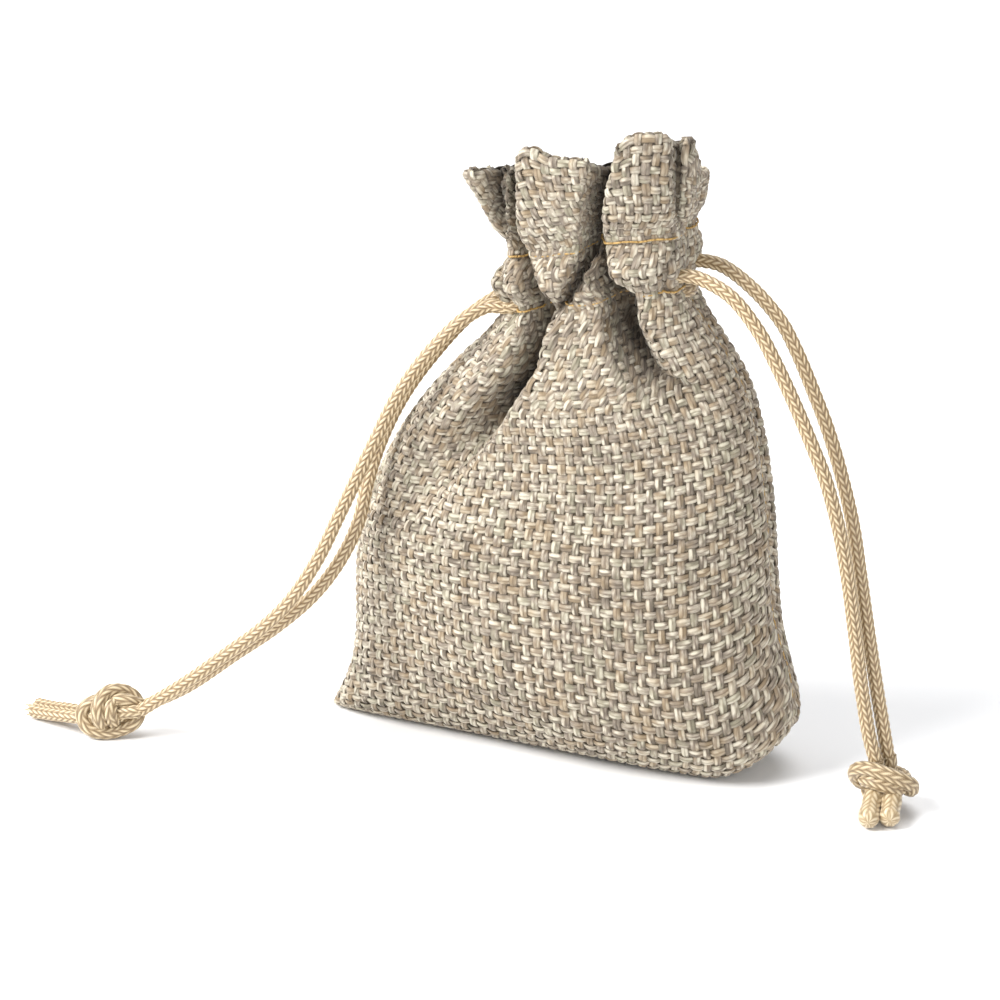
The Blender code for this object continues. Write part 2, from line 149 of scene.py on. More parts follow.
def yarnMaterial():
    # imitation-linen yarn: two plies of mixed grey, straw and greenish fibre twisted together.
    # Streaks along the yarn and a groove between the plies give the dry, heathered look; the crown is painted
    # lighter as highlight, and the flanks and the groove darker as shade.
    made, tree, shader = newMaterial("heatheredLinenYarn")
    uv = addNode(tree, "ShaderNodeUVMap", {"uv_map": "along"})
    shade = addNode(tree, "ShaderNodeAttribute", {"attribute_name": "shade"})
    ply = addNode(tree, "ShaderNodeMapping", None, Vector=uv.outputs["UV"], Scale=(5.5, 0.35, 1.0))
    plyTone = addNode(tree, "ShaderNodeTexNoise", {"noise_dimensions": "2D"}, Vector=ply.outputs["Vector"],
                      Scale=1.0, Detail=1.0, Roughness=0.5)
    hair = addNode(tree, "ShaderNodeMapping", None, Vector=uv.outputs["UV"], Scale=(26.0, 0.9, 1.0))
    fibre = addNode(tree, "ShaderNodeTexNoise", {"noise_dimensions": "2D"}, Vector=hair.outputs["Vector"],
                    Scale=1.0, Detail=3.0, Roughness=0.6)
    mixed = addNode(tree, "ShaderNodeMath", {"operation": "MULTIPLY_ADD"}, i0=plyTone.outputs["Fac"], i1=1.1,
                    i2=-0.55)
    finer = addNode(tree, "ShaderNodeMath", {"operation": "MULTIPLY_ADD"}, i0=fibre.outputs["Fac"], i1=0.9,
                    i2=-0.45)
    both = addNode(tree, "ShaderNodeMath", {"operation": "ADD"}, i0=mixed.outputs[0], i1=finer.outputs[0])
    split = addNode(tree, "ShaderNodeSeparateXYZ", None, Vector=uv.outputs["UV"])
    turned = addNode(tree, "ShaderNodeMath", {"operation": "MULTIPLY_ADD"}, i0=split.outputs["X"],
                     i1=2.0 * math.pi, i2=-0.5 * math.pi)
    aside = addNode(tree, "ShaderNodeMath", {"operation": "SINE"}, i0=turned.outputs[0])
    whichSide = addNode(tree, "ShaderNodeMapRange", {"interpolation_type": "SMOOTHSTEP"}, i0=aside.outputs[0],
                        i1=-0.3, i2=0.3, i3=-1.0, i4=1.0)
    slow = addNode(tree, "ShaderNodeMapping", None, Vector=uv.outputs["UV"], Scale=(0.0, 0.42, 1.0))
    paler = addNode(tree, "ShaderNodeTexNoise", {"noise_dimensions": "2D"}, Vector=slow.outputs["Vector"],
                    Scale=1.0, Detail=1.0)
    palerBy = addNode(tree, "ShaderNodeMath", {"operation": "MULTIPLY_ADD"}, i0=paler.outputs["Fac"], i1=2.6,
                      i2=-1.3)
    plies = addNode(tree, "ShaderNodeMath", {"operation": "MULTIPLY_ADD"}, i0=palerBy.outputs[0],
                    i1=whichSide.outputs[0], i2=both.outputs[0])
    total = addNode(tree, "ShaderNodeMath", {"operation": "ADD"}, i0=shade.outputs["Fac"],
                    i1=plies.outputs[0])
    colour = ramp(tree, total.outputs[0], [(0.0, "#6f6558"), (0.28, "#84796c"), (0.5, "#998d7f"),
                                           (0.72, "#b0a695"), (0.95, "#cfc7b5")])
    tint = addNode(tree, "ShaderNodeMapping", None, Vector=uv.outputs["UV"], Scale=(1.0, 0.16, 1.0))
    warm = addNode(tree, "ShaderNodeTexNoise", {"noise_dimensions": "2D"}, Vector=tint.outputs["Vector"],
                   Scale=1.0, Detail=2.0)
    share = addNode(tree, "ShaderNodeMapRange", None, i0=warm.outputs["Fac"], i1=0.50, i2=0.70, i3=0.0,
                    i4=0.50)
    tinted = addNode(tree, "ShaderNodeMix", {"data_type": "RGBA"}, i0=share.outputs[0])
    tree.links.new(colour.outputs["Color"], tinted.inputs[6])
    tinted.inputs[7].default_value = fromHex("#a38c6a")
    green = addNode(tree, "ShaderNodeMapRange", None, i0=warm.outputs["Fac"], i1=0.46, i2=0.34, i3=0.0,
                    i4=0.35)
    mossy = addNode(tree, "ShaderNodeMix", {"data_type": "RGBA"}, i0=green.outputs[0])
    tree.links.new(tinted.outputs[2], mossy.inputs[6])
    mossy.inputs[7].default_value = fromHex("#a8a68b")
    # painted highlight and shade: each yarn is lightest along its crown, and its colour is multiplied darker
    # down the flanks and in the groove between the plies
    top = addNode(tree, "ShaderNodeMath", {"operation": "COSINE"}, i0=turned.outputs[0])
    flank = addNode(tree, "ShaderNodeMapRange", {"interpolation_type": "SMOOTHSTEP"}, i0=top.outputs[0],
                    i1=0.10, i2=0.8, i3=0.3, i4=1.0)
    crease = addNode(tree, "ShaderNodeMapRange", {"interpolation_type": "SMOOTHSTEP"}, i0=top.outputs[0],
                     i1=0.95, i2=1.0, i3=1.0, i4=0.45)
    groove = addNode(tree, "ShaderNodeMath", {"operation": "MULTIPLY"}, i0=flank.outputs[0],
                     i1=crease.outputs[0])
    shadow = ramp(tree, groove.outputs[0], [(0.0, "#a3988a"), (1.0, "#ffffff")])
    dark = addNode(tree, "ShaderNodeMix", {"data_type": "RGBA", "blend_type": "MULTIPLY"}, i0=0.8)
    tree.links.new(mossy.outputs[2], dark.inputs[6])
    tree.links.new(shadow.outputs["Color"], dark.inputs[7])
    inFold = foldShade(tree, dark.outputs[2])
    tree.links.new(inFold.outputs[2], shader.inputs["Base Color"])
    height = addNode(tree, "ShaderNodeMath", {"operation": "MULTIPLY_ADD"}, i0=fibre.outputs["Fac"], i1=0.9,
                     i2=groove.outputs[0])
    bump = addNode(tree, "ShaderNodeBump", None, Height=height.outputs[0], Strength=0.8, Distance=0.00012)
    tree.links.new(bump.outputs["Normal"], shader.inputs["Normal"])
    shader.inputs["Roughness"].default_value = 0.78
    shader.inputs["Sheen Weight"].default_value = 0.15
    shader.inputs["Sheen Roughness"].default_value = 0.5
    shader.inputs["Specular IOR Level"].default_value = 0.25
    return made


def backingMaterial():
    # the cloth's shaded inner layer: matt and dark, so the gaps in the weave read as depth
    made, tree, shader = newMaterial("linenBackingInShade")
    where = addNode(tree, "ShaderNodeTexCoord")
    noise = addNode(tree, "ShaderNodeTexNoise", None, Vector=where.outputs["Object"], Scale=900.0,
                    Detail=3.0)
    colour = ramp(tree, noise.outputs["Fac"], [(0.38, "#554a3d"), (0.62, "#8f836f")])
    tree.links.new(foldShade(tree, colour.outputs["Color"]).outputs[2], shader.inputs["Base Color"])
    bump = addNode(tree, "ShaderNodeBump", None, Height=noise.outputs["Fac"], Strength=0.5, Distance=0.0002)
    tree.links.new(bump.outputs["Normal"], shader.inputs["Normal"])
    shader.inputs["Roughness"].default_value = 0.95
    return made


def cordMaterial(name, low, middle, high, gloss):
    # braided polyester filament: fine silky lines along each leaf. Painted highlight and shade: the colour is
    # paler where a leaf stands proud and darker in the grooves, which gives a soft satin shine broken up by
    # the braid
    made, tree, shader = newMaterial(name)
    relief = addNode(tree, "ShaderNodeAttribute", {"attribute_name": "relief"})
    uv = addNode(tree, "ShaderNodeUVMap", {"uv_map": "along"})
    stretch = addNode(tree, "ShaderNodeMapping", None, Vector=uv.outputs["UV"], Scale=(60.0, 1.2, 1.0))
    silk = addNode(tree, "ShaderNodeTexNoise", {"noise_dimensions": "2D"}, Vector=stretch.outputs["Vector"],
                   Scale=1.0, Detail=2.0)
    # painted highlight and shade: the relief attribute makes the leaves' crowns light and the grooves dark
    total = addNode(tree, "ShaderNodeMath", {"operation": "MULTIPLY_ADD"}, i0=silk.outputs["Fac"], i1=0.3,
                    i2=relief.outputs["Fac"])
    colour = ramp(tree, total.outputs[0], [(0.12, low), (0.55, middle), (1.0, high)])
    tree.links.new(colour.outputs["Color"], shader.inputs["Base Color"])
    bump = addNode(tree, "ShaderNodeBump", None, Height=silk.outputs["Fac"], Strength=0.35, Distance=0.00008)
    tree.links.new(bump.outputs["Normal"], shader.inputs["Normal"])
    shader.inputs["Roughness"].default_value = gloss
    shader.inputs["Sheen Weight"].default_value = 0.2
    shader.inputs["Specular IOR Level"].default_value = 0.6
    return made


def threadMaterial():
    # spun sewing thread, dyed gold: a little glossier than the yarn, so that the stitches catch light
    made, tree, shader = newMaterial("goldenPolyesterThread")
    where = addNode(tree, "ShaderNodeTexCoord")
    noise = addNode(tree, "ShaderNodeTexNoise", None, Vector=where.outputs["Object"], Scale=2500.0,
                    Detail=2.0)
    colour = ramp(tree, noise.outputs["Fac"], [(0.3, "#8f6e3a"), (0.7, "#c9a564")])
    tree.links.new(colour.outputs["Color"], shader.inputs["Base Color"])
    shader.inputs["Roughness"].default_value = 0.45
    return made


def floorMaterial():
    # matt pale paper sweep, with tone variation too slight to notice
    made, tree, shader = newMaterial("paleStudioFloor")
    where = addNode(tree, "ShaderNodeTexCoord")
    noise = addNode(tree, "ShaderNodeTexNoise", None, Vector=where.outputs["Object"], Scale=6.0, Detail=2.0)
    colour = ramp(tree, noise.outputs["Fac"], [(0.3, "#f6f6f6"), (0.7, "#fafafa")])
    tree.links.new(colour.outputs["Color"], shader.inputs["Base Color"])
    shader.inputs["Roughness"].default_value = 0.9
    return made


def makeMesh(name, points, faces, material, uv=None, values=None, smooth=True):
    # faces is a list of (count, corners) int arrays
    data = bpy.data.meshes.new(name)
    data.vertices.add(len(points))
    data.vertices.foreach_set("co", np.asarray(points, np.float32).ravel())
    totals = np.concatenate([np.full(len(f), f.shape[1]) for f in faces])
    corners = np.concatenate([f.ravel() for f in faces])
    data.loops.add(len(corners))
    data.loops.foreach_set("vertex_index", corners.astype(np.int32))
    data.polygons.add(len(totals))
    data.polygons.foreach_set("loop_start", np.concatenate([[0], np.cumsum(totals)[:-1]]).astype(np.int32))
    data.polygons.foreach_set("loop_total", totals.astype(np.int32))
    data.polygons.foreach_set("use_smooth", np.full(len(totals), smooth))
    if uv is not None:
        layer = data.uv_layers.new(name="along")
        layer.data.foreach_set("uv", np.asarray(uv, np.float32).ravel())
    for key, value in (values or {}).items():
        attribute = data.attributes.new(key, "FLOAT", "POINT")
        attribute.data.foreach_set("value", np.asarray(value, np.float32).ravel())
    data.update(calc_edges=True)
    data.validate()
    made = bpy.data.objects.new(name, data)
    bpy.context.collection.objects.link(made)
    data.materials.append(material)
    return made


def tubeFamily(name, centres, across, outwards, halfWidth, halfDepth, along, sides, material, values=None,
               relief=None):
    # several tubes of equal ring count: centres, across and outwards are (tubes, rings, 3), in mm
    count, rings = centres.shape[:2]
    angle = np.linspace(0.0, 2.0 * np.pi, sides, endpoint=False)
    cosine, sine = np.cos(angle), np.sin(angle)
    swell = 1.0 if relief is None else relief
    points = (centres[:, :, None, :]
              + across[:, :, None, :] * (halfWidth[:, :, None] * cosine * swell)[..., None]
              + outwards[:, :, None, :] * (halfDepth[:, :, None] * sine * swell)[..., None])
    index = np.arange(count * rings * sides).reshape(count, rings, sides)
    after = np.roll(index, -1, axis=2)
    quads = np.stack([index[:, :-1], after[:, :-1], after[:, 1:], index[:, 1:]], axis=-1).reshape(-1, 4)
    turn = np.arange(sides) / sides
    low = np.broadcast_to(turn, (count, rings - 1, sides))
    high = np.broadcast_to(turn + 1.0 / sides, (count, rings - 1, sides))
    near = np.broadcast_to(along[:, :-1, None], low.shape)
    far = np.broadcast_to(along[:, 1:, None], low.shape)
    uv = np.stack([low, near, high, near, high, far, low, far], axis=-1).reshape(-1, 2)
    startCaps = index[:, 0, ::-1]
    endCaps = index[:, -1, :]
    capUv = np.zeros((2 * count * sides, 2))
    return makeMesh(name, metres(points.reshape(-1, 3)), [quads, startCaps, endCaps], material,
                    np.concatenate([uv, capUv]), values)


def unit(vectors):
    return vectors / np.maximum(np.linalg.norm(vectors, axis=-1, keepdims=True), 1e-9)


leftFrontRoute = [(-11.2, -5.35, 86.28), (-14.5, -5.8, 86.0), (-19.0, -8.0, 83.0), (-24.7, -11.0, 76.3),
                  (-29.2, -13.5, 68.9), (-32.2, -16.0, 61.6), (-35.1, -18.5, 54.3), (-38.2, -20.5, 46.7),
                  (-41.4, -22.5, 39.1), (-46.2, -24.3, 31.0), (-51.6, -26.0, 25.0), (-58.1, -27.5, 19.6),
                  (-66.0, -29.0, 13.2), (-75.7, -29.85, 6.1)]
leftBackRoute = [(-11.2, 5.35, 86.28), (-14.5, 4.8, 86.0), (-21.0, 1.4, 81.3), (-27.2, -3.0, 73.3),
                 (-31.1, -6.5, 66.5), (-33.6, -10.0, 59.5), (-35.1, -13.0, 52.4), (-36.0, -16.0, 44.7),
                 (-38.9, -18.5, 37.4), (-43.7, -20.5, 30.5), (-50.4, -22.7, 24.1), (-58.3, -24.3, 18.0),
                 (-67.0, -26.0, 11.2), (-75.7, -26.95, 6.1)]
rightFrontRoute = [(22.2, -5.35, 95.72), (26.5, -5.5, 95.5), (32.6, -6.5, 93.0), (38.0, -7.5, 87.6),
                   (41.8, -8.1, 81.7), (45.6, -8.6, 74.8), (49.0, -9.0, 67.9), (51.8, -9.3, 61.7),
                   (54.6, -9.5, 52.7), (56.6, -9.7, 43.5), (58.2, -9.9, 34.1), (59.7, -10.0, 24.6),
                   (61.5, -10.1, 15.2), (63.1, -10.2, 9.9)]
rightBackRoute = [(22.2, 5.35, 95.72), (27.5, 4.8, 95.2), (33.7, 3.5, 91.8), (39.1, 2.0, 87.2),
                  (42.6, 0.5, 82.6), (46.0, -1.0, 76.8), (49.7, -2.5, 69.7), (52.8, -4.0, 62.4),
                  (55.8, -5.4, 53.4), (57.8, -6.3, 44.3), (59.6, -6.9, 35.1), (61.8, -7.4, 24.0),
                  (63.8, -7.7, 14.5), (64.7, -7.6, 9.9)]

cordSizes = {"diameter": 2.5, "leaves": 8, "stitch": 1.5, "slant": -1.15, "relief": 0.15, "step": 0.21,
             "sides": 48, "channelStep": 0.4, "inward": 3.0, "pathSkip": 12}


def smoothRoute(route, step):
    # Catmull-Rom through the points, then evenly spaced
    route = np.asarray(route, float)
    padded = np.vstack([2 * route[0] - route[1], route, 2 * route[-1] - route[-2]])
    fine = [route[:1]]
    for a, b, c, d in zip(padded, padded[1:], padded[2:], padded[3:]):
        t = np.linspace(0.0, 1.0, 41)[1:, None]
        fine.append(0.5 * (2 * b + (c - a) * t + (2 * a - 5 * b + 4 * c - d) * t ** 2
                           + (3 * b - a - 3 * c + d) * t ** 3))
    fine = np.vstack(fine)
    reach = np.concatenate([[0.0], np.cumsum(np.linalg.norm(np.diff(fine, axis=0), axis=1))])
    count = max(3, int(round(reach[-1] / step)) + 1)
    even = np.linspace(0.0, reach[-1], count)
    return np.stack([np.interp(even, reach, fine[:, i]) for i in range(3)], axis=1), even


def carriedFrame(path, first):
    # a twist-free pair of directions across the path
    tangent = unit(np.gradient(path, axis=0))
    side = np.empty_like(path)
    current = np.asarray(first, float)
    for i, t in enumerate(tangent):
        current = current - t * (current @ t)
        current = current / np.linalg.norm(current)
        side[i] = current
    return side, np.cross(tangent, side)


def braid(name, path, distance, material, first=(0.0, 0.0, 1.0), radius=None, sizes=cordSizes):
    # a round braid: paired leaves slant to each side and stand proud where they cross over
    side, other = carriedFrame(path, first)
    angle = np.arange(sizes["sides"]) / sizes["sides"] * sizes["leaves"]
    column = np.floor(angle)
    within = angle - column - 0.5
    sign = np.where(column % 2 == 0, 1.0, -1.0)
    slant = sign * within * sizes["slant"] + 0.5 * (column // 2 % 2)
    phase = distance[:, None] / sizes["stitch"] + slant[None, :]
    leaf = (0.5 + 0.5 * np.cos(2 * np.pi * phase)) ** 0.7
    crown = 1.0 - (2 * np.abs(within)) ** 2.5 * 0.8
    high = leaf * crown[None, :]
    size = np.full(len(path), sizes["diameter"] / 2) if radius is None else radius
    swell = 1.0 - sizes["relief"] + sizes["relief"] * 1.5 * high
    # the relief attribute drives the cord's painted highlight and shade
    return tubeFamily(name, path[None], side[None], other[None], size[None], size[None], distance[None],
                      sizes["sides"], material, {"relief": high.ravel()}, swell[None])


cloth = {"width": 100.0, "pitch": 2.0, "lowerStitch": 103.0, "upperStitch": 114.5, "rim": 136.5,
         "turnIn": 8.0, "rimRadius": 0.95, "skin": 0.9, "wrinkle": 0.35, "keepClear": 2.9,
         "lobeStep": 5.5, "cordMouth": 3.5, "slitDrop": 0.42, "cornerPuff": 2.0,
         "lobeLevel": 0.15, "cordHeight": 107.0, "waves": 9, "rimTurns": 7,
         "roundness": {2: 1.1, 3: 1.3},  # of the front valleys by number, 2.0 for the others
         "leans": {3: (1.8, 80.0, 10.0), 0: (2.7, 66.0, 16.0)}}  # sideways reach, start and length in mm

# Height up the cloth, then the section there: left and right edge, front and back depth,
# height of the middle, the left edge and the right edge, tilt, squareness, extra depth to the
# right, reach of the right edge's lift, and drop of the back.
clothRows = np.array([
    (0.0, -50.0, 45.2, 0.6, 0.6, 0.75, 0.75, 9.0, 0.0, 2.6, 0.20, 0.18, 0.0),
    (4.0, -50.0, 45.8, 5.0, 5.0, 0.8, 0.8, 11.0, 0.0, 2.6, 0.20, 0.18, 0.0),
    (8.0, -49.3, 46.0, 9.2, 9.0, 1.8, 1.2, 14.0, -0.036, 2.6, 0.20, 0.18, 0.0),
    (11.0, -48.1, 45.8, 12.0, 11.8, 4.0, 2.4, 16.6, -0.065, 2.6, 0.20, 0.19, 0.0),
    (15.0, -46.4, 45.2, 14.8, 14.8, 7.6, 5.0, 20.1, -0.085, 2.5, 0.18, 0.20, 0.0),
    (20.0, -44.6, 43.8, 17.0, 17.2, 12.3, 9.0, 24.2, -0.09, 2.4, 0.14, 0.22, 0.0),
    (28.0, -43.0, 41.7, 18.6, 19.0, 20.0, 16.4, 31.2, -0.075, 2.35, 0.08, 0.26, 0.0),
    (38.0, -42.8, 40.8, 19.4, 19.8, 29.9, 26.2, 39.8, -0.04, 2.3, 0.04, 0.30, 0.0),
    (50.0, -42.1, 40.0, 19.2, 19.4, 41.4, 38.0, 49.8, 0.01, 2.3, 0.0, 0.32, 0.0),
    (60.0, -39.3, 38.8, 18.4, 18.4, 50.7, 47.8, 58.5, 0.05, 2.3, 0.0, 0.34, 0.0),
    (70.0, -35.0, 37.2, 17.4, 17.0, 59.8, 57.3, 67.0, 0.09, 2.25, 0.0, 0.38, 0.0),
    (80.0, -29.0, 34.4, 16.2, 15.2, 68.4, 66.8, 75.6, 0.12, 2.3, 0.0, 0.42, 0.0),
    (90.0, -21.2, 29.4, 14.6, 13.0, 76.8, 76.0, 83.4, 0.15, 2.4, 0.0, 0.46, 0.0),
    (97.0, -15.6, 25.4, 12.4, 11.0, 83.4, 81.4, 88.9, 0.18, 2.5, 0.0, 0.5, 0.0),
    (103.0, -12.6, 23.0, 9.4, 9.0, 89.4, 86.2, 93.2, 0.20, 2.7, 0.0, 0.5, 0.0),
    (109.0, -14.4, 23.4, 12.4, 11.6, 94.4, 90.8, 98.4, 0.20, 3.0, 0.0, 0.5, 0.0),
    (114.5, -11.8, 23.0, 9.6, 9.0, 99.6, 95.6, 103.0, 0.20, 3.0, 0.0, 0.5, 0.0),
    (122.0, -14.8, 24.9, 12.2, 9.8, 105.3, 101.6, 107.4, 0.14, 3.2, 0.0, 0.34, 1.6),
    (130.0, -17.2, 25.4, 13.4, 9.0, 111.2, 105.6, 110.2, 0.06, 3.4, 0.0, 0.24, 4.6),
    (136.5, -19.0, 25.8, 14.0, 6.8, 115.8, 108.6, 112.0, 0.0, 3.8, 0.0, 0.12, 8.4),
])

# Valleys between the pleats: height up the cloth, x, depth, reach to the left and to the right.
frontValleys = [
    [(54, -27, 0, 16, 9), (68.5, -18.2, 4.0, 14, 5.0), (80.5, -8.2, 9.2, 12.5, 3.8),
     (91.5, -1.0, 12.0, 10.5, 3.4), (98, 0.0, 12.0, 8.6, 3.0), (104, -1.9, 8.0, 4.6, 2.8),
     (109, -3.9, 7.0, 3.4, 2.6), (114, -6.2, 7.0, 3.4, 2.2),
     (120, -7.4, 8.0, 4.0, 2.0), (136.5, -7.4, 9.0, 4.0, 1.9)],
    [(116, -10.9, 0, 3.0, 3.0), (121, -11.2, 6.4, 3.4, 3.4), (128, -11.4, 9.4, 4.0, 3.4),
     (136.5, -10.9, 11.0, 4.8, 3.4)],
    [(98, 0.6, 0, 2.4, 2.4), (102, 0.8, 4.0, 2.2, 2.2), (107.5, 3.4, 7.6, 2.4, 2.4),
     (112, 6.3, 8.6, 2.6, 2.2), (117, 7.8, 11.0, 2.9, 2.5), (127, 8.7, 12.5, 3.1, 2.6),
     (136.5, 10.4, 13.0, 3.1, 2.6)],
    [(78, 30.0, 0, 8, 8), (83, 25.4, 3.0, 7, 6), (87.5, 20.6, 7.4, 6.0, 5), (93, 17.0, 12.0, 5.6, 5.2),
     (99.5, 13.6, 12.5, 4.6, 4.8), (103.5, 12.0, 10.0, 3.2, 4.0), (108, 9.8, 8.0, 2.4, 2.4),
     (113, 8.8, 5.4, 2.0, 2.0), (117, 8.4, 0, 2.0, 2.0)],
    [(100, 19.4, 0, 2.4, 2.4), (105, 20.4, 2.4, 2.2, 2.2), (112, 22.0, 2.4, 2.2, 2.0),
     (120, 22.4, 5.4, 2.2, 2.0), (136.5, 23.2, 8.0, 2.4, 2.2)],
    [(98, -9.0, 0, 2.2, 2.2), (103, -8.8, 2.6, 2.2, 2.2), (109, -10.6, 2.4, 2.0, 2.0),
     (115, -11.0, 0, 2.0, 2.0)],
]
backValleys = [
    [(66, -14, 0, 12, 12), (78, -10, 3.4, 9, 9), (90, -5.5, 8.6, 5, 5), (102, -4.0, 9.4, 3.2, 3.2),
     (114, -4.2, 9.2, 3.0, 3.0), (136.5, -8.0, 9.0, 3.4, 3.4)],
    [(74, 6, 0, 10, 10), (86, 6, 5.4, 5, 5), (102, 5.5, 9.6, 3.1, 3.1), (114, 5.5, 9.4, 3.0, 3.0),
     (136.5, 4.5, 9.6, 3.4, 3.4)],
    [(70, 26, 0, 10, 10), (82, 22, 4.0, 7, 7), (92, 17, 8.2, 4.4, 4.4), (102, 14.5, 9.2, 3.1, 3.1),
     (114, 14.6, 9.0, 3.0, 3.0), (136.5, 17.0, 8.8, 3.4, 3.4)],
]


def smoothCurve(heights, table, v):
    # smooth interpolation of the columns of a table
    k = int(np.clip(np.searchsorted(heights, v) - 1, 0, len(heights) - 2))
    slopes = np.gradient(table, heights, axis=0)
    span = heights[k + 1] - heights[k]
    t = (v - heights[k]) / span
    return ((2 * t ** 3 - 3 * t ** 2 + 1) * table[k] + (t ** 3 - 2 * t ** 2 + t) * span * slopes[k]
            + (3 * t ** 2 - 2 * t ** 3) * table[k + 1] + (t ** 3 - t ** 2) * span * slopes[k + 1])


def valleyAt(points, v):
    # x, depth and reaches of a valley at a height, or None where it has faded
    table = np.array(points, float)
    if v <= table[0, 0] or v > table[-1, 0] + 1e-6:
        return None
    return [np.interp(v, table[:, 0], table[:, i]) for i in range(1, 5)]


def sectionHalf(row, v, front):
    # one half of the cloth's section, evenly spaced from the left seam to the right one
    left, right, frontDepth, backDepth, zMiddle, zLeft, zRight, tilt, power, skew, rightReach, drop = row
    inset = cloth["skin"]
    middle, half = (left + right) / 2, (right - left) / 2 - inset
    depth = max((frontDepth if front else backDepth) - 0.6 * inset, 0.2)
    turn = np.linspace(0.0, np.pi, 1201)
    cosine, sine = np.cos(turn), np.sin(turn)
    mouth = cloth["cordMouth"] * np.exp(-((v - cloth["cordHeight"]) / 7.0) ** 2)
    power = np.where(cosine < 0.0, power + mouth, power)
    side = -np.sign(cosine) * np.abs(cosine) ** (2.0 / power)
    x = middle + half * side
    y = depth * np.abs(sine) ** (2.0 / power) * (1.0 + skew * side)
    reach = np.concatenate([[0.0], np.cumsum(np.hypot(np.diff(x), np.diff(y)))])
    tangent = unit(np.stack([np.gradient(x, reach), np.gradient(y, reach)], axis=1))
    inX, inY = tangent[:, 1] * 0.25, -np.abs(tangent[:, 0])
    sink, shift = np.zeros_like(x), np.zeros_like(x)
    for number, points in enumerate(frontValleys if front else backValleys):
        found = valleyAt(points, v)
        if found is None:
            continue
        place, deep, toLeft, toRight = found
        offset = reach - np.interp(place, x, reach)
        share = np.clip(np.where(offset < 0, -offset / toLeft, offset / toRight), 0.0, 1.0)
        roundness = cloth["roundness"].get(number, 2.0) if front else 2.0
        sink = np.maximum(sink, deep * np.cos(0.5 * np.pi * share) ** roundness)
        if front and number in cloth["leans"] and v < 104.0:
            farthest, start, span = cloth["leans"][number]
            lean = farthest * np.clip((v - start) / span, 0.0, 1.0) * np.clip((104.0 - v) / 6.0, 0.0, 1.0)
            shift = shift - lean * np.exp(-((offset - toRight * 0.8) / (toRight * 0.9)) ** 2)
    sink = sink * np.clip(reach / 4.0, 0.0, 1.0) * np.clip((reach[-1] - reach) / 4.0, 0.0, 1.0)
    nearCord = np.clip(1.0 - abs(v - cloth["cordHeight"]) / 12.0, 0.0, 1.0) ** 0.3
    clear = inset + (cloth["keepClear"] - inset) * nearCord
    clear = max(clear, 2.2) if v > 116.0 else clear
    limit = np.maximum(y - clear, 0.0)
    sink = limit * np.tanh(sink / np.maximum(limit, 1e-6))
    x, y = x + inX * sink + shift, y + inY * sink
    lower = cloth["slitDrop"] * sink * np.clip((v - 118.0) / 12.0, 0.0, 1.0)
    seam = 1.1 * np.exp(-(reach / 1.8) ** 2) - 1.1 * np.exp(-((reach[-1] - reach) / 1.8) ** 2)
    x = x + seam
    length = np.concatenate([[0.0], np.cumsum(np.hypot(np.diff(x), np.diff(y)))])
    even = np.linspace(0.0, 1.0, int(cloth["width"] * 2) + 1)
    share = length / length[-1]
    # painted shade mask: grows with the valley's depth above 76 mm, and darkens the cloth's colour deep in
    # the pleats
    fold = np.clip(sink / 7.5 - 0.1, 0.0, 1.0) * np.clip((v - 76.0) / 10.0, 0.0, 1.0)
    x, y, lower, fold = [np.interp(even, share, values) for values in (x, y, lower, fold)]
    leftPart = np.clip(1.0 - even / (0.30 + 0.2 * np.clip((v - 60.0) / 40.0, 0.0, 1.0)), 0.0, 1.0) ** 1.7
    rightPart = np.clip(1.0 - (1.0 - even) / rightReach, 0.0, 1.0) ** 1.7
    step = cloth["lobeStep"] * np.clip((v - 115.0) / 21.5, 0.0, 1.0) ** 1.2
    inner = zMiddle + tilt * (x - 5.5) - (0.0 if front else drop)
    inner = inner + step * (0.5 + 0.5 * np.tanh((x - 10.2) / 1.2))
    atStitch = cloth["lobeLevel"] * np.exp(-((v - 116.0) / 7.0) ** 2)
    inner = inner - atStitch * (np.clip(x - 9.0, 0.0, 14.0) - 7.0) * (x > 7.0) * front
    nearRim = np.clip((v - 124.0) / 12.5, 0.0, 1.0)
    corners = np.exp(-((x + 3.4) / 2.8) ** 2) - 1.1 * np.exp(-((x - 12.6) / 2.2) ** 2)
    inner = inner - lower + cloth["cornerPuff"] * nearRim * corners * front
    z = inner * (1 - leftPart - rightPart) + zLeft * leftPart + zRight * rightPart
    return np.stack([x, -y if front else y, z], axis=1), fold


def buildSurface():
    # positions on a half-millimetre grid over each half of the cloth: rows up, columns across
    heights = clothRows[:, 0]
    steps = np.arange(0.0, cloth["rim"] + 0.01, 0.5)
    halves, folds = [], []
    for front in (True, False):
        grid, fold = [], []
        for v in steps:
            points, shade = sectionHalf(smoothCurve(heights, clothRows[:, 1:], v), v, front)
            grid.append(points)
            fold.append(shade)
        grid = np.array(grid)
        rows, columns = grid.shape[:2]
        up = np.arange(rows)[:, None] / 2.0
        over = np.arange(columns)[None, :] / 2.0
        soft = np.zeros((rows, columns))
        for _ in range(cloth["waves"]):
            a, b, c = rng.uniform(0.03, 0.11), rng.uniform(-0.10, 0.10), rng.uniform(0.0, 6.28)
            soft += np.sin(up * a * 2 + over * b * 2 + c) / 3.0
        calm = np.clip(over / 12.0, 0, 1) * np.clip((cloth["width"] - over) / 12.0, 0, 1)
        calm = calm * np.clip((up - 8.0) / 10.0, 0, 1)
        grid = grid + gridNormals(grid, front) * (soft * calm * cloth["wrinkle"])[..., None]
        halves.append(grid)
        folds.append(np.array(fold)[..., None])
    return halves, folds


def gridNormals(grid, front):
    up = np.gradient(grid, axis=0)
    across = np.gradient(grid, axis=1)
    normal = unit(np.cross(across, up))
    return normal if front else -normal


